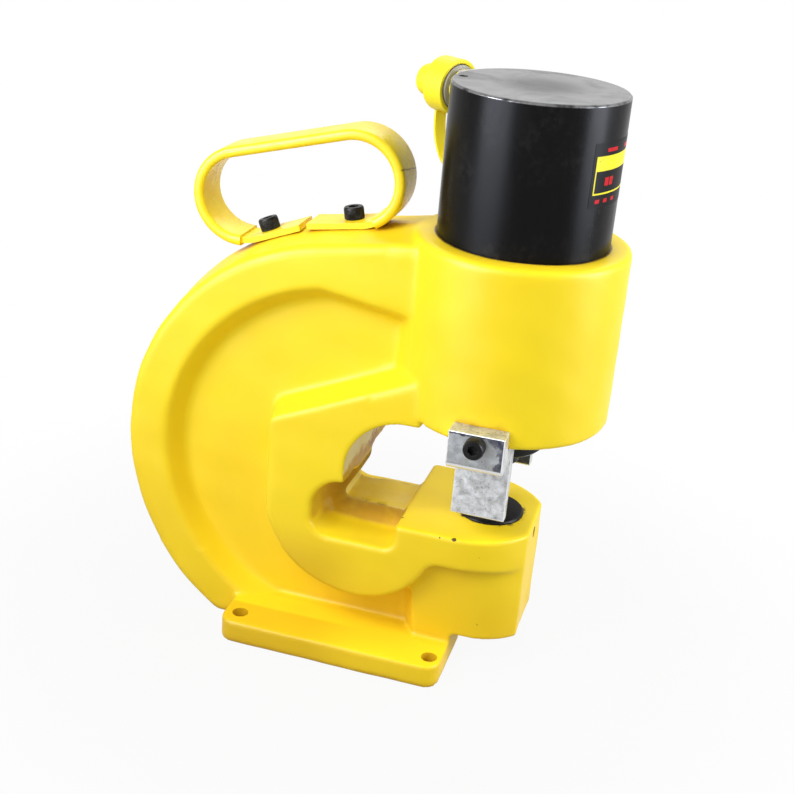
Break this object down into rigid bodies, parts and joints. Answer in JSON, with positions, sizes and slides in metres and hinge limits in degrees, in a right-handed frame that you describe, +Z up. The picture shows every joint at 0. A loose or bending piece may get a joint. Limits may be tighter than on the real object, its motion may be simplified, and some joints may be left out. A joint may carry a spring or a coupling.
{
  "type": "hydraulic hole punch",
  "caption": "Cast C-frame hydraulic hole punch with a spring-return ram over a round die, strippers, carry handle, capped coupler and bolt-down base.",
  "frame": {"origin": "centre of the four base bolt holes, on the floor", "axes": "+Z up along the ram's axis, +X from the back of the C towards the nose of the lower jaw, +Y to the far side in the picture"},
  "size_m": [0.3212, 0.176, 0.3909],
  "materials": {
    "frame_paint": "glossy yellow enamel on cast iron and on the handle's bar",
    "cylinder_black": "semi-gloss black, handled",
    "ram_steel": "black oxide, oiled",
    "tool_steel": "black oxide, ground at the cutting edge",
    "black_screws": "black oxide",
    "stripper_zinc": "zinc plated, mottled",
    "grip_plastic": "yellow dipped plastic",
    "cap_plastic": "soft yellow plastic",
    "coupler_steel": "zinc plated",
    "spring_steel": "oil tempered",
    "guide_bronze": "turned bronze",
    "seal_rubber": "matte",
    "ring_plastic": "natural"
  },
  "bodies": {
    "frame": {"c_frame": "frame_paint", "cylinder_body": "cylinder_black", "ram_guide_bush": "guide_bronze", "rod_wiper": "seal_rubber", "return_spring": "spring_steel", "die": "tool_steel", "die_set_screw": "black_screws", "near_stripper": "stripper_zinc", "far_stripper": "stripper_zinc", "stripper_screws": "black_screws", "carry_handle": "frame_paint", "handle_grip": "grip_plastic", "handle_screws": "black_screws", "coupler_seal": "seal_rubber", "coupler_adapter": "coupler_steel", "coupler_body": "coupler_steel", "cap_strap": "cap_plastic"},
    "ram": {"piston_ram": "ram_steel", "piston_wear_ring": "ring_plastic", "piston_backup_ring": "ring_plastic", "piston_seal": "seal_rubber", "punch": "tool_steel", "punch_set_screw": "black_screws"},
    "coupler_poppet": {"coupler_poppet": "coupler_steel", "coupler_spring": "spring_steel"},
    "dust_cap": {"dust_cap": "cap_plastic"}
  },
  "joints": [
    {"name": "ram_stroke", "type": "slide", "parent": "frame", "child": "ram", "axis": [0, 0, -1], "range_m": [0, 0.028], "stiffness_N_per_m": 5300, "springref_m": -0.02, "deforming": ["return_spring"]},
    {"name": "cap_pull", "type": "slide", "parent": "frame", "child": "dust_cap", "axis": [-0.866, 0.5, 0], "range_m": [0, 0.026]},
    {"name": "poppet_push", "type": "slide", "parent": "frame", "child": "coupler_poppet", "axis": [0.866, -0.5, 0], "range_m": [0, 0.002], "stiffness_N_per_m": 5000, "springref_m": -0.002}
  ]
}
